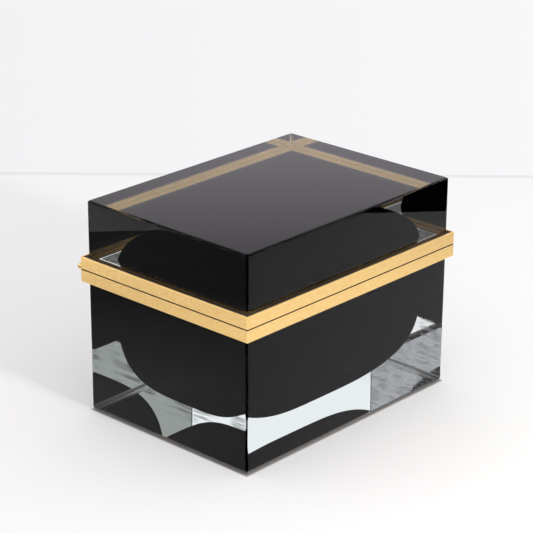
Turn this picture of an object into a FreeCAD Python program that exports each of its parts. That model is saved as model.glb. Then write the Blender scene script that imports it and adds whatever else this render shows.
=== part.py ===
import FreeCAD, Part
import math
import os

# A hinged table casket of cased glass: a clear block outside, a black bowl
# inside, and a gilt brass collar on each half. Millimetres, +Z up, front
# towards -Y. The origin is under the middle of the base, on the table.

# Overall sizes
glass_width = 174.0
glass_depth = 125.0
base_height = 89.5
lid_height = 41.8
glass_corner_radius = 1.2
base_edge_radius = 2.4
lid_edge_radius = 1.1

# Gilt collars and the seal in the lid
collar_slot = 2.15
collar_wall = 1.0
collar_height = 7.65
base_flange = 3.6
lid_flange = 7.0
flange_setback = 0.5
collar_edge_radius = 0.35
cement_share = 0.4
seam_gap = 0.5
seam_depth = 1.2
sight_line_inset = 2.7
sight_line_width = 0.3
sight_line_depth = 0.4
seal_inset = 5.3
seal_thickness = 3.4

# Black liners: the exponents shape the bowl's outline at its rim and floor, and its walls
base_ring_x = 3.2
base_ring_y = 4.4
base_floor = 11.4
base_lean_x = -3.65
base_lean_y = -2.0
lid_ring_x = 15.0
lid_ring_y = 13.1
lid_crown = 16.05
lid_lean_x = 1.95
lid_lean_y = 3.65
liner_wall = 3.0
liner_floor = 3.5
base_exponents = {"rim": 3.5, "floor": 4.45, "px": 1.81, "qx": 5.97, "py": 2.08, "qy": 3.44}
lid_exponents = {"rim": 15.9, "floor": 2.3, "px": 4.96, "qx": 2.4, "py": 5.94, "qy": 1.0}

# Hinge
hinge_inset = 2.35
hinge_standoff = 3.5
barrel_radius = 1.75
knuckle_count = 7
knuckle_gap = 0.3
pin_radius = 0.95
pin_clearance = 0.05
pin_head_radius = 1.35
pin_head_height = 0.7
heel_top = 0.9
heel_depth = 1.7
stop_clearance = 0.08
opening_angle = 100.0

# Working allowances
overrun = 2.0
level_count = 12
side_steps = 5
last_level_angle = 86.0

# Places that follow from the sizes above
collar_half_width = glass_width / 2 + collar_slot + collar_wall
collar_half_depth = glass_depth / 2 + collar_slot + collar_wall
base_rim_z = base_height - base_flange
lid_rim_z = base_height + lid_flange
top_z = base_height + lid_height
hinge_y = collar_half_depth + hinge_standoff
hinge_half_length = collar_half_width - hinge_inset
mitre_reach = glass_depth / 2


def box(x_low, x_high, y_low, y_high, z_low, z_high):
    """A block between two opposite corners."""
    size = (x_high - x_low, y_high - y_low, z_high - z_low)
    return Part.makeBox(*size, FreeCAD.Vector(x_low, y_low, z_low))


def centred_box(half_x, half_y, z_low, z_high):
    """A block centred on the Z axis."""
    return box(-half_x, half_x, -half_y, half_y, z_low, z_high)


def unit_outline(exponent):
    """Points round |x|^n + |y|^n = 1, closer together towards the corners."""
    diagonal = 2 ** (-1 / exponent)
    rising = [diagonal * math.sin(math.pi / 2 * step / side_steps) for step in range(side_steps + 1)]
    quadrant = []
    for share in rising:
        quadrant.append(((1 - share ** exponent) ** (1 / exponent), share))
    for share in reversed(rising[1:-1]):
        quadrant.append((share, (1 - share ** exponent) ** (1 / exponent)))
    points = []
    for turn in range(4):
        points.extend(quadrant)
        quadrant = [(-y, x) for x, y in quadrant]
    return points


def outline_wire(half_x, half_y, exponent, centre_x, centre_y, z):
    """A smooth closed outline at one level."""
    points = []
    for x, y in unit_outline(exponent):
        points.append(FreeCAD.Vector(centre_x + half_x * x, centre_y + half_y * y, z))
    curve = Part.BSplineCurve()
    curve.interpolate(Points=points, PeriodicFlag=True)
    return Part.Wire(curve.toShape())


def bowl(half_x, half_y, rim_z, floor_z, exponents, lean_x, lean_y):
    """A solid bowl from its rim to its floor: (x/a)^p + depth^q = 1 along each axis."""
    wires = []
    for level in range(level_count + 1):
        share = math.sin(math.radians(last_level_angle * level / level_count))
        reach_x = half_x * (1 - share ** exponents["qx"]) ** (1 / exponents["px"])
        reach_y = half_y * (1 - share ** exponents["qy"]) ** (1 / exponents["py"])
        exponent = exponents["rim"] + (exponents["floor"] - exponents["rim"]) * share
        z = rim_z + (floor_z - rim_z) * share
        wires.append(outline_wire(reach_x, reach_y, exponent, lean_x * share, lean_y * share, z))
    return Part.makeLoft(wires, True, False)


def edges_where(shape, test):
    """The straight edges whose middle point passes a test."""
    found = []
    for edge in shape.Edges:
        middle = edge.valueAt((edge.FirstParameter + edge.LastParameter) / 2)
        if test(edge, middle):
            found.append(edge)
    return found


def is_vertical(edge):
    """True for an edge that runs along Z."""
    direction = edge.Vertexes[0].Point - edge.Vertexes[-1].Point
    return abs(direction.z) > abs(direction.x) + abs(direction.y)


def glass_block(z_low, z_high, edge_z, edge_radius):
    """The clear block, its four upright edges and one face's edges rounded."""
    block = centred_box(glass_width / 2, glass_depth / 2, z_low, z_high)
    block = block.makeFillet(glass_corner_radius, edges_where(block, lambda edge, middle: is_vertical(edge)))
    outer = edges_where(block, lambda edge, middle: abs(middle.z - edge_z) < edge_radius / 2)
    return block.makeFillet(edge_radius, outer)


def frame_between(half_x, half_y, width, z_low, z_high):
    """A rectangular frame of one width all round, given by its outer half sizes."""
    outer = centred_box(half_x, half_y, z_low, z_high)
    return outer.cut(centred_box(half_x - width, half_y - width, z_low, z_high))


def collar_ring(direction, rim_z, mouth):
    """One half's collar, an L section all round: a wall and an inward flange that carries the glass,
    with the mouth cut out and a shadow groove at the seam."""
    far_z = base_height + direction * collar_height
    ring = centred_box(collar_half_width, collar_half_depth, min(base_height, far_z), max(base_height, far_z))
    ring = ring.makeFillet(collar_edge_radius, edges_where(
        ring, lambda edge, middle: is_vertical(edge) or abs(middle.z - far_z) < collar_edge_radius))
    groove = frame_between(collar_half_width + overrun, collar_half_depth + overrun, overrun + seam_depth,
                           base_height - seam_gap / 2, base_height + seam_gap / 2)
    pocket_end = far_z + direction * overrun
    pocket = centred_box(collar_half_width - collar_wall, collar_half_depth - collar_wall,
                         min(rim_z, pocket_end), max(rim_z, pocket_end))
    return ring.cut(groove).cut(pocket).cut(mouth)


def mitre_prism(side):
    """The region that one side's bar fills, between the 45 degree planes of its two corners."""
    far_x = collar_half_width + overrun
    far_y = collar_half_depth + overrun
    near_x = collar_half_width - mitre_reach
    near_y = collar_half_depth - mitre_reach
    corners = {
        "front": ((-far_x, -far_y), (far_x, -far_y), (near_x, -near_y), (-near_x, -near_y)),
        "back": ((far_x, far_y), (-far_x, far_y), (-near_x, near_y), (near_x, near_y)),
        "left": ((-far_x, far_y), (-far_x, -far_y), (-near_x, -near_y), (-near_x, near_y)),
        "right": ((far_x, -far_y), (far_x, far_y), (near_x, near_y), (near_x, -near_y)),
    }[side]
    points = [FreeCAD.Vector(x, y, 0) for x, y in corners]
    face = Part.Face(Part.makePolygon(points + points[:1]))
    return face.extrude(FreeCAD.Vector(0, 0, top_z))


def flange_mouth(ring_x, ring_y, exponents):
    """The opening through a flange, a little wider than the bowl's mouth."""
    half_x = glass_width / 2 - ring_x - liner_wall + flange_setback
    half_y = glass_depth / 2 - ring_y - liner_wall + flange_setback
    wire = outline_wire(half_x, half_y, exponents["rim"], 0, 0, base_rim_z - overrun)
    return Part.Face(wire).extrude(FreeCAD.Vector(0, 0, lid_rim_z - base_rim_z + 2 * overrun))


def cement_bed(direction, rim_z, glass):
    """The bed that fixes the collar's wall to the glass, low in the slot between them."""
    slot_depth = collar_height - abs(rim_z - base_height)
    high = rim_z + direction * slot_depth * cement_share
    bed = centred_box(collar_half_width - collar_wall, collar_half_depth - collar_wall,
                      min(rim_z, high), max(rim_z, high))
    return bed.cut(glass)


def sight_line():
    """The fine groove in the lid's flange, seen through the glass as a dark line beside the wall."""
    return frame_between(glass_width / 2 - sight_line_inset, glass_depth / 2 - sight_line_inset, sight_line_width,
                         lid_rim_z - sight_line_depth, lid_rim_z)


def lid_seal_block(z_high):
    """The block that holds the lid's seal, up to a height, before the mouth is cut out."""
    return centred_box(glass_width / 2 - seal_inset, glass_depth / 2 - seal_inset, lid_rim_z - seal_thickness, z_high)


def barrel_cylinder(radius, x_low, x_high):
    """A cylinder on the hinge axis."""
    base = FreeCAD.Vector(x_low, hinge_y, base_height)
    return Part.makeCylinder(radius, x_high - x_low, base, FreeCAD.Vector(1, 0, 0))


def knuckle(index):
    """One hinge knuckle with the web that carries it on its own collar's back wall."""
    length = (2 * hinge_half_length - (knuckle_count - 1) * knuckle_gap) / knuckle_count
    x_low = -hinge_half_length + index * (length + knuckle_gap)
    x_high = x_low + length
    upper = index % 2 == 1
    web_z = base_height + (barrel_radius if upper else -barrel_radius)
    web = box(x_low, x_high, collar_half_depth, hinge_y, min(base_height, web_z), max(base_height, web_z))
    solid = barrel_cylinder(barrel_radius, x_low, x_high).fuse(web)
    if upper:
        solid = solid.fuse(stop_heel(x_low, x_high))
    bore = barrel_cylinder(pin_radius + pin_clearance, x_low - overrun, x_high + overrun)
    return solid.cut(bore).removeSplitter()


def stop_heel(x_low, x_high):
    """The lug that meets the lower collar's back wall when the lid is fully open, shown closed."""
    heel = box(x_low, x_high, collar_half_depth + stop_clearance, hinge_y,
               base_height - heel_top - heel_depth, base_height - heel_top)
    axis_point = FreeCAD.Vector(0, hinge_y, base_height)
    return heel.rotate(axis_point, FreeCAD.Vector(1, 0, 0), opening_angle)


def hinge_pin():
    """The pin, with a low domed head against each end knuckle."""
    rod = barrel_cylinder(pin_radius, -hinge_half_length, hinge_half_length)
    dome_radius = (pin_head_radius ** 2 + pin_head_height ** 2) / (2 * pin_head_height)
    for side in (-1, 1):
        face_x = side * hinge_half_length
        centre = FreeCAD.Vector(face_x - side * (dome_radius - pin_head_height), hinge_y, base_height)
        tip_x = face_x + side * pin_head_height
        head = barrel_cylinder(pin_head_radius, min(face_x, tip_x), max(face_x, tip_x))
        rod = rod.fuse(head.common(Part.makeSphere(dome_radius, centre)))
    return rod


def glass_half(block, ring_x, ring_y, rim_z, floor_z, exponents, lean_x, lean_y):
    """One half's two layers of glass: the clear casing and the black liner fused inside it."""
    half_x = glass_width / 2 - ring_x
    half_y = glass_depth / 2 - ring_y
    towards_rim = liner_floor if rim_z > floor_z else -liner_floor
    outside = bowl(half_x, half_y, rim_z, floor_z, exponents, lean_x, lean_y)
    inside = bowl(half_x - liner_wall, half_y - liner_wall, rim_z, floor_z + towards_rim, exponents, lean_x, lean_y)
    return block.cut(outside), outside.cut(inside)


def save(name, shape):
    """Check one piece and write it to its own file."""
    solids = shape.Solids
    if len(solids) != 1 or not shape.isValid():
        print("look at", name, "solids", len(solids), "valid", shape.isValid())
    solids[0].exportStep("parts/" + name + ".step")
    print(name, round(solids[0].Volume, 1))


os.makedirs("parts", exist_ok=True)

base_block = glass_block(0, base_rim_z, 0, base_edge_radius)
base_casing, base_liner = glass_half(
    base_block, base_ring_x, base_ring_y, base_rim_z, base_floor, base_exponents, base_lean_x, base_lean_y)
save("base_clear_casing", base_casing)
save("base_black_liner", base_liner)
save("lower_cement_bed", cement_bed(-1, base_rim_z, base_block))

lid_block = glass_block(lid_rim_z, top_z, top_z, lid_edge_radius)
lid_casing, lid_liner = glass_half(
    lid_block, lid_ring_x, lid_ring_y, lid_rim_z, top_z - lid_crown, lid_exponents, lid_lean_x, lid_lean_y)
save("lid_clear_casing", lid_casing)
save("lid_black_liner", lid_liner)
save("upper_cement_bed", cement_bed(1, lid_rim_z, lid_block))

base_mouth = flange_mouth(base_ring_x, base_ring_y, base_exponents)
lid_mouth = flange_mouth(lid_ring_x, lid_ring_y, lid_exponents)
lid_seal = lid_seal_block(lid_rim_z).cut(lid_mouth)
save("lid_seal", lid_seal)
lower_collar = collar_ring(-1, base_rim_z, base_mouth)
upper_collar = collar_ring(1, lid_rim_z, lid_mouth).cut(lid_seal).cut(sight_line())
for side in ("front", "back", "left", "right"):
    save("lower_collar_" + side, lower_collar.common(mitre_prism(side)))
    save("upper_collar_" + side, upper_collar.common(mitre_prism(side)))

for index in range(knuckle_count):
    half = "upper" if index % 2 == 1 else "lower"
    save(half + "_hinge_knuckle_" + str(index // 2 + 1), knuckle(index))
save("hinge_pin", hinge_pin())
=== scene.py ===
import math

import bpy
import numpy as np
from mathutils import Matrix, Vector


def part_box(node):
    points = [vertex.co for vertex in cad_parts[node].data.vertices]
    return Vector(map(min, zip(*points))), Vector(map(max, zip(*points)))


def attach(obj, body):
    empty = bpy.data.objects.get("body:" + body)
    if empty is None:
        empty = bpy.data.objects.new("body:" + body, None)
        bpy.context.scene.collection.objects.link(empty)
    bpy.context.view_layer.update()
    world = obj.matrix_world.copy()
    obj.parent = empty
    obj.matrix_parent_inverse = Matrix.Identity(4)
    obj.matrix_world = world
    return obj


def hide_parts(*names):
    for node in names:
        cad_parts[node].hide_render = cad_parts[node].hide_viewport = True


# A hinged table casket of cased glass: a clear block outside, a black bowl inside, and a gilt brass
# collar on each half. Metres, +Z up, front towards -Y, hinge at +Y, origin under the middle of the base.

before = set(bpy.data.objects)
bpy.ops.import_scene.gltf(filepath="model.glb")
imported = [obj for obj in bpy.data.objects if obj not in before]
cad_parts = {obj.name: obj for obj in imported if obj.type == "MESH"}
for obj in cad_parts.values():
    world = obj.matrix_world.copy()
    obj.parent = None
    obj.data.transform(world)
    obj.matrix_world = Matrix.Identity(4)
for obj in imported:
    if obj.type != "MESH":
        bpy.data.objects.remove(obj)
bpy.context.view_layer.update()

# Sizes of the glass that the frame doesn't give
corner_radius = 0.0012
base_edge_radius = 0.0024
lid_edge_radius = 0.0011
liner_wall = 0.003
liner_floor = 0.0035
rim_gap = 0.00008
holding_strip = 0.00015

# The lid's rim face, from its edge inwards: cemented to the gilt strip, then open, then on the seal
rim_zones = (0.0053, 0.007)
open_zone, cemented_zone, sealed_zone = 0, 1, 2
rim_zone_finish = (cemented_zone, open_zone, sealed_zone)
ground_zone = 1

# Black bowls: width of the clear rim round each, where its floor leans to, and the exponents of its shape
base_bowl = {
    "ring": (0.0032, 0.0044),
    "floor_z": 0.0114,
    "lean": (-0.00365, -0.002),
    "outline": (3.5, 4.45),
    "wall_x": (1.81, 5.97),
    "wall_y": (2.08, 3.44),
}
lid_bowl = {
    "ring": (0.015, 0.0131),
    "floor_z": 0.11525,
    "lean": (0.00195, 0.00365),
    "outline": (15.9, 2.3),
    "wall_x": (4.96, 2.4),
    "wall_y": (5.94, 1.0),
}

# How finely the surfaces are divided
points_round = 256
bowl_levels = 56
edge_steps = 8

# Noise patterns: stretch along each axis, scale and detail, and the range that most of their values keep to
even = (1, 1, 1)
rubbed_strokes = ((1, 0.08, 1), 420, 5)
glass_patches = (even, 45, 2)
ground_grit = (even, 900, 3)
cement_smears = (even, 260, 3)
seal_streaks = ((0.3, 1, 1), 420, 4)
fused_clouds = (even, 40, 3)
polished_clouds = (even, 55, 3)
lines_along_x = ((0.3, 1, 1), 1500, 3)
lines_along_y = ((1, 0.3, 1), 1500, 3)
cement_grain = (even, 700, 4)
rubber_grain = (even, 1500, 2)
noise_low, noise_high = 0.3, 0.7

# Clear glass, rubbed low on the base's right and scuffed under its right end
glass_values = {"IOR": 1.53, "Specular Tint": (0, 0, 0, 1)}
glass_tones = ((0.95, 0.985, 0.99, 1), (0.94, 0.975, 0.985, 1))
rubbed_from, rubbed_to = 0.04, 0.034
scuffed_from, scuffed_to = 0.05, 0.06
stroke_from, stroke_to = 0.47, 0.58
patch_from, patch_to = 0.35, 0.55
rubbed_roughness = 0.15
rubbed_tint = (0.4, 0.41, 0.4, 1)
rubbed_clearness = 0.68

# Where the glass is ground, cemented or sealed
ground_values = {"Transmission Weight": 0.35, **glass_values}
ground_tones = ((0, 0, 0, 1), (0.17, 0.16, 0.155, 1))
ground_roughness = (0.1, 0.3)
cemented_values = {"Transmission Weight": 1, "IOR": 1, "Roughness": 0}
cemented_tones = ((0.9, 0.9, 0.9, 1), (1, 1, 1, 1))
# Painted shade where the cemented strip is seen at a slant, in place of the gilt's dim reflection of the
# black liner
slant_painted_shade = (0.2, 0.17, 0.15, 1)
sealed_values = {"Specular Tint": (0, 0, 0, 1)}
sealed_tones = ((0.002, 0.002, 0.002, 1), (0.01, 0.01, 0.01, 1))
sealed_roughness = (0.03, 0.3)

# Black glass, cement and rubber
fused_values = {"Roughness": 1, "Specular IOR Level": 0}
fused_tones = ((0.001, 0.0009, 0.001, 1), (0.0022, 0.002, 0.0021, 1))
polished_values = {"IOR": 1.53}
polished_tones = ((0.009, 0.009, 0.0095, 1), (0.015, 0.015, 0.0165, 1))
polished_roughness = (0.04, 0.09)
cement_values = {"Roughness": 0.85}
cement_tones = ((0.006, 0.005, 0.004, 1), (0.03, 0.026, 0.022, 1))
rubber_values = {"Roughness": 0.8, "Specular IOR Level": 0.1}
rubber_tones = ((0.004, 0.004, 0.004, 1), (0.012, 0.012, 0.012, 1))

# Gilt brass, and the shadow groove where the two collars meet, given painted shade
gilt_values = {"Metallic": 1, "Coat Weight": 0.35, "Coat Roughness": 0.3}
gilt_tones = ((0.97, 0.6, 0.2, 1), (1, 0.72, 0.31, 1))
gilt_roughness = (0.3, 0.42)
brushed_strength = 0.06
brushed_depth = 0.00001
# Painted shade: a near-black brown on the groove's walls, in place of the shade that falls in the groove
seam_painted_shade = (0.035, 0.02, 0.01, 1)
seam_depth = 0.00125
seam_reach = 0.00038

# Camera, as fitted to the photograph's corners
camera_place = (-0.82846, -0.75386, 0.5256)
camera_azimuth = -47.58
camera_elevation = 21.567
camera_roll = 0.368
camera_lens = 138.46
camera_sensor = 36

# Floor: a sheet of pale paper under the box, its places given along the camera's right and its heading
paper_right = 0.404
paper_left = -0.404
paper_near = -1.5
wall_forward = 0.4085
wall_line_from, wall_line_to = 0.009, 0.003
# Painted shade: a grey line on the floor at the wall's foot, where the floor meets the wall
wall_foot_painted_shade = (0.66, 0.655, 0.665, 1)
floor_drop = -0.00005
floor_values = {"Roughness": 0.9, "Specular IOR Level": 0.1}
floor_tones = ((0.755, 0.745, 0.75, 1), (0.755, 0.755, 0.755, 1))
floor_tones_reach = 0.16
# Painted shadow: a dark colour on the floor close round the box, where the box shades it
under_box_painted_shadow = (0.26, 0.24, 0.23, 1)
under_box_shadow_reach = 0.0014
floor_glow = 0.22

# The floor as gloss and glass see it, darker far to the left
floor_in_gloss = 1.42
floor_through_glass = 1.1
floor_aside_colour = (0.29, 0.29, 0.29, 1)
floor_aside_from, floor_aside_to = -0.14, -0.28

# Walls as the camera, glass and gloss see them, with the shares of a direction where each begins and ends
wall_tones = ((0.88, 0.88, 0.895, 1), (0.945, 0.945, 0.96, 1))
wall_tones_reach = 0.18
wall_through_glass = (0.87, 0.89, 0.9, 1)
wall_in_gloss = ((1.08, 1.02, 1.1, 1), (0.6, 0.56, 0.62, 1))
wall_in_gloss_from, wall_in_gloss_to = 0.31, 0.36
behind_from, behind_to = 0.3, 0.6
sides_through_glass = ((0.38, 0.38, 0.4, 1), (0.3, 0.32, 0.3, 1))
sides_in_gloss = ((1.7, 1.7, 1.7, 1), (1.8, 1.8, 1.8, 1))
sides_reach = 0.3
ceiling = (0.9, 0.9, 0.9, 1)
ceiling_from, ceiling_to = 0.5, 0.7
dark_room = (0.002, 0.002, 0.002, 1)
world_light = (0.9, 0.9, 0.91, 1)

# Lamp
key_place = (-0.09, -1.2, 0.53)
key_size = 0.14
key_power = 9
key_colour = (1, 0.985, 0.96)

glass_low, glass_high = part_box("base_clear_casing")
lid_glass_low, lid_glass_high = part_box("lid_clear_casing")
collar_reach_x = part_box("upper_collar_right")[1].x
collar_reach_y = -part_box("upper_collar_front")[0].y
seam_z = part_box("lower_collar_front")[1].z
half_x = glass_high.x
half_y = glass_high.y
around = np.arange(points_round) * (4 / points_round)
heading = np.array([-math.sin(math.radians(camera_azimuth)), math.cos(math.radians(camera_azimuth)), 0])
rightwards = np.cross(heading, (0, 0, 1))


def turned(forward, across):
    """The four quadrants of an outline from one: each is the first turned by a further right angle."""
    turn = np.floor(around) * math.pi / 2
    x = forward * np.cos(turn) - across * np.sin(turn)
    y = forward * np.sin(turn) + across * np.cos(turn)
    return np.stack([x, y], axis=1)


def rounded_rectangle(reach_x, reach_y, radius):
    """Outline of a rectangle with round corners: each half side runs straight, then round half a corner."""
    share = 1 - np.abs(2 * (around % 1) - 1)
    straight = np.clip(2 * share, 0, 1)
    angle = np.clip(2 * share - 1, 0, 1) * math.pi / 4
    first_half = around % 1 <= 0.5
    swapped = np.floor(around) % 2 == 1
    forward_reach = np.where(swapped, reach_y, reach_x)
    across_reach = np.where(swapped, reach_x, reach_y)
    near_reach = np.where(first_half, forward_reach, across_reach)
    far_reach = np.where(first_half, across_reach, forward_reach)
    near = near_reach - radius * (1 - np.cos(angle))
    far = (far_reach - radius) * straight + radius * np.sin(angle)
    return turned(np.where(first_half, near, far), np.where(first_half, far, near))


def superellipse(reach_x, reach_y, exponent):
    """Outline |x/a|^n + |y/b|^n = 1, its points closer together towards the corners."""
    share = 1 - np.abs(2 * (around % 1) - 1)
    short = 2 ** (-1 / exponent) * np.sin(share * math.pi / 2)
    long = (1 - short ** exponent) ** (1 / exponent)
    first_half = around % 1 <= 0.5
    unit = turned(np.where(first_half, long, short), np.where(first_half, short, long))
    return unit * (reach_x, reach_y)


def ring_at(outline, z):
    """One row of a surface: an outline at a height."""
    return np.column_stack([outline, np.full(points_round, z)])


def block_ring(inset, z):
    """The block's outline, moved inwards by an inset, at a height."""
    return ring_at(rounded_rectangle(half_x - inset, half_y - inset, corner_radius), z)


def bowl_rows(bowl, rim_z, inset, floor_inset):
    """Rows of a bowl from rim to floor, moved inwards by an inset. At depth share s its reach is
    a (1 - s^q)^(1/p) on each axis, its outline's exponent goes evenly from rim to floor, and its
    middle moves by the lean times s. The last value is the middle of the floor."""
    floor_z = bowl["floor_z"] + math.copysign(floor_inset, rim_z - bowl["floor_z"])
    reach_x = half_x - bowl["ring"][0] - inset
    reach_y = half_y - bowl["ring"][1] - inset
    power_x, depth_power_x = bowl["wall_x"]
    power_y, depth_power_y = bowl["wall_y"]
    rim_exponent, floor_exponent = bowl["outline"]
    rows = []
    for share in np.sin(np.arange(bowl_levels) / bowl_levels * math.pi / 2):
        level_x = reach_x * (1 - share ** depth_power_x) ** (1 / power_x)
        level_y = reach_y * (1 - share ** depth_power_y) ** (1 / power_y)
        exponent = rim_exponent + (floor_exponent - rim_exponent) * share
        outline = superellipse(level_x, level_y, exponent) + np.multiply(bowl["lean"], share)
        rows.append(ring_at(outline, rim_z + (floor_z - rim_z) * share))
    return rows, (*bowl["lean"], floor_z)


def block_rows(face_z, rim_z, edge_radius):
    """Rows of a block's outside from its closed face to its rim: the face's flat, a quarter round edge
    and the upright sides. Narrow strips beside each round keep the flats' shading flat."""
    direction = math.copysign(1, rim_z - face_z)
    rows = [block_ring(edge_radius + holding_strip, face_z)]
    for step in range(edge_steps + 1):
        angle = math.pi / 2 * step / edge_steps
        rise = direction * edge_radius * (1 - math.cos(angle))
        rows.append(block_ring(edge_radius * (1 - math.sin(angle)), face_z + rise))
    rows.append(block_ring(0, face_z + direction * (edge_radius + holding_strip)))
    rows.append(block_ring(0, rim_z))
    return rows


def closed_surface(name, rows, first_pole, last_pole, crease_rows):
    """A closed mesh from rows of points round an axis: quads between the rows and a fan at each pole.
    The faces are turned round if the volume, a sixth of the sum of a . (b x c), is negative."""
    grid = np.array(rows)
    row_count = len(grid)
    points = np.vstack([grid.reshape(-1, 3), first_pole, last_pole])
    index = np.arange(row_count * points_round).reshape(row_count, points_round)
    beside = np.roll(index, -1, axis=1)
    quads = np.stack([index[:-1], beside[:-1], beside[1:], index[1:]], axis=-1).reshape(-1, 4)
    first_fan = np.stack([np.full(points_round, row_count * points_round), beside[0], index[0]], axis=1)
    last_fan = np.stack([np.full(points_round, row_count * points_round + 1), index[-1], beside[-1]], axis=1)
    triangles = points[np.vstack([quads[:, :3], quads[:, [0, 2, 3]], first_fan, last_fan])]
    volume = np.sum(triangles[:, 0] * np.cross(triangles[:, 1], triangles[:, 2])) / 6
    if volume < 0:
        quads, first_fan, last_fan = quads[:, ::-1], first_fan[:, ::-1], last_fan[:, ::-1]
    mesh = bpy.data.meshes.new(name)
    mesh.from_pydata(points, [], quads.tolist() + first_fan.tolist() + last_fan.tolist())
    mesh.polygons.foreach_set("use_smooth", np.ones(len(mesh.polygons), bool))
    ends = np.empty(2 * len(mesh.edges), int)
    mesh.edges.foreach_get("vertices", ends)
    end_rows = ends.reshape(-1, 2) // points_round
    creased = (end_rows[:, 0] == end_rows[:, 1]) & np.isin(end_rows[:, 0], crease_rows)
    sharp = mesh.attributes.new("sharp_edge", "BOOLEAN", "EDGE")
    sharp.data.foreach_set("value", creased)
    mesh.update()
    piece = bpy.data.objects.new(name, mesh)
    bpy.context.scene.collection.objects.link(piece)
    return piece


def clear_casing(name, bowl, face_z, rim_z, edge_radius, zones=()):
    """The clear block round a bowl. Its inner wall lies in the middle of the black liner's wall, as
    glass that is fused to the liner has no surface of its own there. Its rim face may be divided into
    zones, by how far each reaches in from the edge. Without zones, its round edge is ground."""
    outside = block_rows(face_z, rim_z, edge_radius)
    rim = [block_ring(reach, rim_z) for reach in zones]
    inside, floor_middle = bowl_rows(bowl, rim_z, liner_wall / 2, liner_floor / 2)
    rim_start = len(outside) - 1
    rim_end = len(outside) + len(rim)
    casing = closed_surface(name, outside + rim + inside, (0, 0, face_z), floor_middle, [rim_start, rim_end])
    finish = np.zeros(len(casing.data.polygons), int)
    if zones:
        finish[rim_start * points_round:rim_end * points_round] = np.repeat(rim_zone_finish, points_round)
    else:
        finish[points_round:(edge_steps + 1) * points_round] = ground_zone
    casing.data.polygons.foreach_set("material_index", finish)
    return casing


def black_liner(name, bowl, rim_z):
    """The black bowl: its outer wall from the floor up to the rim, then its cavity down to the floor."""
    outer, outer_middle = bowl_rows(bowl, rim_z, 0, 0)
    inner, inner_middle = bowl_rows(bowl, rim_z, liner_wall, liner_floor)
    creases = [len(outer) - 1, len(outer)]
    liner = closed_surface(name, outer[::-1] + inner, outer_middle, inner_middle, creases)
    quad_row = np.arange(len(liner.data.polygons)) // points_round
    row_count = len(outer) + len(inner)
    polished = (quad_row >= len(outer) - 1) & (quad_row != row_count - 1)
    liner.data.polygons.foreach_set("material_index", polished.astype(int))
    return liner


def new_material(name, values):
    """A node material with one Principled shader, whose uniform values are set on its sockets."""
    material = bpy.data.materials.new(name)
    material.use_nodes = True
    nodes = material.node_tree.nodes
    links = material.node_tree.links
    nodes.clear()
    shader = nodes.new("ShaderNodeBsdfPrincipled")
    output = nodes.new("ShaderNodeOutputMaterial")
    links.new(shader.outputs["BSDF"], output.inputs["Surface"])
    for socket, value in values.items():
        shader.inputs[socket].default_value = value
    return material, nodes, links, shader


def object_place(nodes):
    """The place on the object."""
    return nodes.new("ShaderNodeTexCoord").outputs["Object"]


def axes_of(nodes, links, place):
    """A place's three coordinates."""
    axes = nodes.new("ShaderNodeSeparateXYZ")
    links.new(place, axes.inputs["Vector"])
    return axes.outputs


def along(nodes, links, vector, direction):
    """How far a vector reaches along a direction."""
    product = nodes.new("ShaderNodeVectorMath")
    product.operation = "DOT_PRODUCT"
    links.new(vector, product.inputs[0])
    product.inputs[1].default_value = direction
    return product.outputs["Value"]


def noise_on(nodes, links, pattern):
    """A noise pattern on object coordinates."""
    stretch, scale, detail = pattern
    mapping = nodes.new("ShaderNodeMapping")
    mapping.inputs["Scale"].default_value = stretch
    noise = nodes.new("ShaderNodeTexNoise")
    noise.inputs["Scale"].default_value = scale
    noise.inputs["Detail"].default_value = detail
    links.new(object_place(nodes), mapping.inputs["Vector"])
    links.new(mapping.outputs["Vector"], noise.inputs["Vector"])
    return noise.outputs["Fac"]


def calculation(nodes, links, operation, first, second):
    """One step of arithmetic between sockets or numbers."""
    step = nodes.new("ShaderNodeMath")
    step.operation = operation
    for socket, value in zip(step.inputs, (first, second)):
        if isinstance(value, (int, float)):
            socket.default_value = value
        else:
            links.new(value, socket)
    return step.outputs["Value"]


def times(nodes, links, first, second):
    """The product of two sockets or numbers."""
    return calculation(nodes, links, "MULTIPLY", first, second)


def beyond(nodes, links, axes, reach_x, reach_y):
    """How far a place lies outside an upright box round the origin: the larger of |x| - a and |y| - b."""
    over_x, over_y = (
        calculation(nodes, links, "SUBTRACT", calculation(nodes, links, "ABSOLUTE", axes[axis], 0), reach)
        for axis, reach in (("X", reach_x), ("Y", reach_y)))
    return calculation(nodes, links, "MAXIMUM", over_x, over_y)


def ranged(nodes, links, value, low, high, from_low=noise_low, from_high=noise_high):
    """A value moved from one range into another, and kept inside it."""
    limits = nodes.new("ShaderNodeMapRange")
    limits.inputs["From Min"].default_value = from_low
    limits.inputs["From Max"].default_value = from_high
    limits.inputs["To Min"].default_value = low
    limits.inputs["To Max"].default_value = high
    links.new(value, limits.inputs["Value"])
    return limits.outputs["Result"]


def rising(nodes, links, value, start=noise_low, end=noise_high):
    """0 up to where a value starts, 1 from where it ends, and even between."""
    return ranged(nodes, links, value, 0, 1, start, end)


def tone(nodes, links, factor, low, high):
    """A colour between two, by a factor."""
    mixed = nodes.new("ShaderNodeMix")
    mixed.data_type = "RGBA"
    links.new(factor, mixed.inputs[0])
    for socket, value in zip(mixed.inputs[6:8], (low, high)):
        if isinstance(value, tuple):
            socket.default_value = value
        else:
            links.new(value, socket)
    return mixed.outputs[2]


def off_gloss_or_glass(nodes, links, path):
    """1 for rays that come off gloss or through glass, and 0 for others."""
    return calculation(nodes, links, "MAXIMUM", path["Is Glossy Ray"], path["Is Transmission Ray"])


def grained(name, values, pattern, tones, roughness=None):
    """A material whose colour follows a noise pattern, and its roughness too where a range is given."""
    material, nodes, links, shader = new_material(name, values)
    grain = noise_on(nodes, links, pattern)
    links.new(tone(nodes, links, grain, *tones), shader.inputs["Base Color"])
    if roughness:
        links.new(ranged(nodes, links, grain, *roughness), shader.inputs["Roughness"])
    return material


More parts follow.
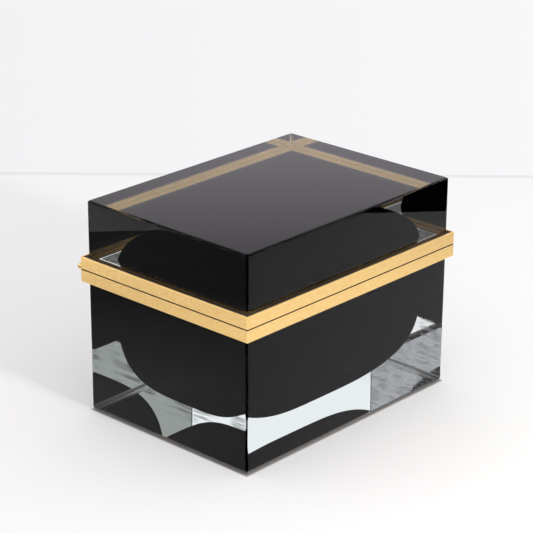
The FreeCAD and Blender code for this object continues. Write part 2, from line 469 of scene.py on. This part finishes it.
def rubbing_marks(nodes, links, patches):
    """Strokes, in patches, low on the right face and under the right end."""
    axes = axes_of(nodes, links, object_place(nodes))
    on_right = calculation(nodes, links, "GREATER_THAN", axes["X"], half_x - holding_strip)
    low_down = rising(nodes, links, axes["Z"], rubbed_from, rubbed_to)
    under = calculation(nodes, links, "LESS_THAN", axes["Z"], holding_strip)
    right_end = rising(nodes, links, axes["X"], scuffed_from, scuffed_to)
    rubbed = times(nodes, links, on_right, low_down)
    scuffed = times(nodes, links, under, right_end)
    strokes = rising(nodes, links, noise_on(nodes, links, rubbed_strokes), stroke_from, stroke_to)
    marks = times(nodes, links, strokes, rising(nodes, links, patches, patch_from, patch_to))
    return times(nodes, links, marks, calculation(nodes, links, "ADD", rubbed, scuffed))


def clear_glass():
    """Thick polished glass, clear to its far side, with faint streaks in it. Its shine is weak where it
    is seen square on, and its rubbing marks are rougher, darker and less clear."""
    material, nodes, links, shader = new_material("clear_glass", glass_values)
    patches = noise_on(nodes, links, glass_patches)
    marks = rubbing_marks(nodes, links, patches)
    shade = tone(nodes, links, patches, *glass_tones)
    links.new(tone(nodes, links, marks, shade, rubbed_tint), shader.inputs["Base Color"])
    links.new(times(nodes, links, marks, rubbed_roughness), shader.inputs["Roughness"])
    links.new(ranged(nodes, links, marks, 1, rubbed_clearness, 0, 1), shader.inputs["Transmission Weight"])
    return material


def cemented_glass():
    """The strip of the lid's rim that is cemented to the gilt flange: nothing bends or shines there, and
    it has painted shade where it is seen at a slant, in place of the gilt's dim reflection of the black
    liner."""
    material, nodes, links, shader = new_material("clear_glass_cemented", cemented_values)
    smears = rising(nodes, links, noise_on(nodes, links, cement_smears))
    shade = tone(nodes, links, smears, *cemented_tones)
    # Painted shade where the strip is seen at a slant
    slant = rising(nodes, links, nodes.new("ShaderNodeLayerWeight").outputs["Facing"])
    links.new(tone(nodes, links, slant, shade, slant_painted_shade), shader.inputs["Base Color"])
    return material


def seam_shade_mask(nodes, links):
    """1 on the walls of the shadow groove where the two collars meet, where painted shade goes, and 0
    elsewhere:
    there the height is within the groove's and the place is within its depth of the collar's outside."""
    axes = axes_of(nodes, links, object_place(nodes))
    over = beyond(nodes, links, axes, collar_reach_x - seam_depth, collar_reach_y - seam_depth)
    outside = calculation(nodes, links, "GREATER_THAN", over, 0)
    above = calculation(nodes, links, "SUBTRACT", axes["Z"], seam_z)
    off_middle = calculation(nodes, links, "ABSOLUTE", above, 0)
    near = calculation(nodes, links, "LESS_THAN", off_middle, seam_reach)
    return times(nodes, links, outside, near)


def gilt_brass(name, pattern):
    """Brushed and gilded brass under a thin lacquer: fine lines along the bar in its colour, gloss and
    height, and painted shade in the groove between the collars."""
    material, nodes, links, shader = new_material(name, gilt_values)
    lines = noise_on(nodes, links, pattern)
    colour = tone(nodes, links, rising(nodes, links, lines), *gilt_tones)
    # Painted shade on the walls of the groove where the collars meet
    links.new(tone(nodes, links, seam_shade_mask(nodes, links), colour, seam_painted_shade), shader.inputs["Base Color"])
    links.new(ranged(nodes, links, lines, *gilt_roughness), shader.inputs["Roughness"])
    bump = nodes.new("ShaderNodeBump")
    bump.inputs["Strength"].default_value = brushed_strength
    bump.inputs["Distance"].default_value = brushed_depth
    links.new(lines, bump.inputs["Height"])
    links.new(bump.outputs["Normal"], shader.inputs["Normal"])
    return material


def finish_piece(piece, body, slot, replaced, *materials):
    """Gives a new piece its materials, hangs it on its body and hides the CAD part it replaces."""
    for material in materials:
        piece.data.materials.append(material)
    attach(piece, body)
    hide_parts(replaced)


def make_glass():
    """The two clear casings and their black liners."""
    clear = clear_glass()
    ground = grained("clear_glass_ground", ground_values, ground_grit, ground_tones, ground_roughness)
    cemented = cemented_glass()
    sealed = grained("clear_glass_on_seal", sealed_values, seal_streaks, sealed_tones, sealed_roughness)
    fused = grained("black_glass_fused", fused_values, fused_clouds, fused_tones)
    polished = grained("black_glass_polished", polished_values, polished_clouds, polished_tones,
                       polished_roughness)
    base_rim_z = glass_high.z - rim_gap
    lid_rim_z = lid_glass_low.z + rim_gap
    casing = clear_casing("base_casing", base_bowl, glass_low.z, base_rim_z, base_edge_radius)
    finish_piece(casing, "base", "clear_glass", "base_clear_casing", clear, ground)
    casing = clear_casing("lid_casing", lid_bowl, lid_glass_high.z, lid_rim_z, lid_edge_radius, rim_zones)
    finish_piece(casing, "lid", "clear_glass", "lid_clear_casing", clear, cemented, sealed)
    liner = black_liner("base_liner", base_bowl, glass_high.z)
    finish_piece(liner, "base", "black_glass", "base_black_liner", fused, polished)
    liner = black_liner("lid_liner", lid_bowl, lid_glass_low.z)
    finish_piece(liner, "lid", "black_glass", "lid_black_liner", fused, polished)


def dress_metal():
    """Materials for the collars, the hinge, the cement beds and the seal."""
    along_x = gilt_brass("gilt_brass_along_x", lines_along_x)
    along_y = gilt_brass("gilt_brass_along_y", lines_along_y)
    cement = grained("dark_cement", cement_values, cement_grain, cement_tones)
    rubber = grained("black_rubber", rubber_values, rubber_grain, rubber_tones)
    for name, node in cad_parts.items():
        if "cement" in name:
            finish = cement
        elif "seal" in name:
            finish = rubber
        elif name.endswith("left") or name.endswith("right"):
            finish = along_y
        elif "collar" in name or "hinge" in name:
            finish = along_x
        else:
            continue
        for slot in node.material_slots:
            slot.material = finish


def make_camera():
    """The camera, where the photograph's perspective puts it."""
    azimuth = math.radians(camera_azimuth)
    elevation = math.radians(camera_elevation)
    roll = math.radians(camera_roll)
    back = np.array([math.sin(azimuth) * math.cos(elevation), -math.cos(azimuth) * math.cos(elevation),
                     math.sin(elevation)])
    level_right = np.array([math.cos(azimuth), math.sin(azimuth), 0])
    level_up = np.cross(back, level_right)
    right = level_right * math.cos(roll) + level_up * math.sin(roll)
    up = np.cross(back, right)
    camera_data = bpy.data.cameras.new("camera")
    camera_data.lens = camera_lens
    camera_data.sensor_width = camera_sensor
    camera = bpy.data.objects.new("camera", camera_data)
    bpy.context.scene.collection.objects.link(camera)
    columns = np.column_stack([right, up, back, camera_place])
    camera.matrix_world = Matrix(np.vstack([columns, (0, 0, 0, 1)]).tolist())
    bpy.context.scene.camera = camera


def make_world():
    """A plain white light all round. The camera sees a pale wall, a little brighter to its right. Gloss
    and glass see that wall behind the box, other walls to its left and right, a ceiling, and a dark
    room below beyond the paper's right edge."""
    world = bpy.data.worlds.new("studio")
    world.use_nodes = True
    bpy.context.scene.world = world
    nodes = world.node_tree.nodes
    links = world.node_tree.links
    path = nodes.new("ShaderNodeLightPath").outputs
    through = path["Is Transmission Ray"]
    ray = nodes.new("ShaderNodeTexCoord").outputs["Generated"]
    right = along(nodes, links, ray, rightwards)
    forward = along(nodes, links, ray, heading)
    height = along(nodes, links, ray, (0, 0, 1))

    wall = tone(nodes, links, rising(nodes, links, right, -wall_tones_reach, wall_tones_reach), *wall_tones)
    high_up = rising(nodes, links, height, wall_in_gloss_from, wall_in_gloss_to)
    behind = tone(nodes, links, through, tone(nodes, links, high_up, *wall_in_gloss), wall_through_glass)
    left_side, right_side = (
        tone(nodes, links, through, in_gloss, through_glass)
        for in_gloss, through_glass in zip(sides_in_gloss, sides_through_glass))
    walls = tone(nodes, links, rising(nodes, links, right, -sides_reach, sides_reach), left_side, right_side)
    walls = tone(nodes, links, rising(nodes, links, forward, behind_from, behind_to), walls, behind)
    walls = tone(nodes, links, rising(nodes, links, height, ceiling_from, ceiling_to), walls, ceiling)
    below = calculation(nodes, links, "LESS_THAN", height, 0)
    aside = calculation(nodes, links, "GREATER_THAN", right, sides_reach)
    walls = tone(nodes, links, times(nodes, links, below, aside), walls, dark_room)

    shown = tone(nodes, links, off_gloss_or_glass(nodes, links, path), world_light, walls)
    shown = tone(nodes, links, path["Is Camera Ray"], shown, wall)
    links.new(shown, nodes["Background"].inputs["Color"])
    nodes["Background"].inputs["Strength"].default_value = 1


def make_key_light():
    """A small soft lamp in front of the box, whose shadow runs back along the floor."""
    lamp = bpy.data.lights.new("key_light", "AREA")
    lamp.shape = "DISK"
    lamp.size = key_size
    lamp.energy = key_power
    lamp.color = key_colour
    holder = bpy.data.objects.new("key_light", lamp)
    bpy.context.scene.collection.objects.link(holder)
    backwards = np.array(key_place) - (0, 0, glass_high.z / 2)
    holder.rotation_euler = Vector(backwards).to_track_quat("Z", "Y").to_euler()
    holder.location = key_place


def floor_material():
    """Pale paper, with painted shade in a line at the wall's foot and a painted shadow close round the box.
    The camera sees it lit, with a faint glow of its own, and gloss and glass see it as a plain colour,
    darker far to the left."""
    material, nodes, links, shader = new_material("floor", floor_values)
    path = nodes.new("ShaderNodeLightPath").outputs
    place = object_place(nodes)
    right = along(nodes, links, place, rightwards)
    forward = along(nodes, links, place, heading)
    rightward = rising(nodes, links, right, -floor_tones_reach, floor_tones_reach)
    paper = tone(nodes, links, rightward, *floor_tones)
    # Painted shade along the wall's foot
    foot = rising(nodes, links, forward, wall_forward - wall_line_from, wall_forward - wall_line_to)
    paper = tone(nodes, links, foot, paper, wall_foot_painted_shade)
    # Painted shadow on the floor close round the box
    clear_of_box = beyond(nodes, links, axes_of(nodes, links, place), half_x, half_y)
    lit = rising(nodes, links, clear_of_box, 0, under_box_shadow_reach)
    colour = tone(nodes, links, lit, under_box_painted_shadow, paper)
    links.new(colour, shader.inputs["Base Color"])
    links.new(colour, shader.inputs["Emission Color"])
    links.new(times(nodes, links, path["Is Camera Ray"], floor_glow), shader.inputs["Emission Strength"])

    mirrored = nodes.new("ShaderNodeEmission")
    aside = rising(nodes, links, right, floor_aside_from, floor_aside_to)
    strength = ranged(nodes, links, path["Is Transmission Ray"], floor_in_gloss, floor_through_glass, 0, 1)
    links.new(tone(nodes, links, aside, colour, floor_aside_colour), mirrored.inputs["Color"])
    links.new(strength, mirrored.inputs["Strength"])
    chosen = nodes.new("ShaderNodeMixShader")
    links.new(off_gloss_or_glass(nodes, links, path), chosen.inputs["Fac"])
    links.new(shader.outputs["BSDF"], chosen.inputs[1])
    links.new(mirrored.outputs["Emission"], chosen.inputs[2])
    links.new(chosen.outputs["Shader"], nodes["Material Output"].inputs["Surface"])
    return material


def make_floor():
    """A flat floor from in front of the box to the wall's foot."""
    corners = []
    for right, forward in ((paper_left, paper_near), (paper_right, paper_near),
                           (paper_right, wall_forward), (paper_left, wall_forward)):
        corners.append(right * rightwards + forward * heading + (0, 0, floor_drop))
    mesh = bpy.data.meshes.new("floor")
    mesh.from_pydata(corners, [], [(0, 1, 2, 3)])
    mesh.materials.append(floor_material())
    floor = bpy.data.objects.new("floor", mesh)
    bpy.context.scene.collection.objects.link(floor)


make_glass()
dress_metal()
make_camera()
make_world()
make_key_light()
make_floor()

bpy.context.scene.view_settings.view_transform = "Standard"
bpy.context.scene.cycles.sampling_pattern = "TABULATED_SOBOL"
bpy.context.scene.cycles.max_bounces = 32
bpy.context.scene.cycles.transmission_bounces = 32
bpy.context.scene.cycles.glossy_bounces = 12
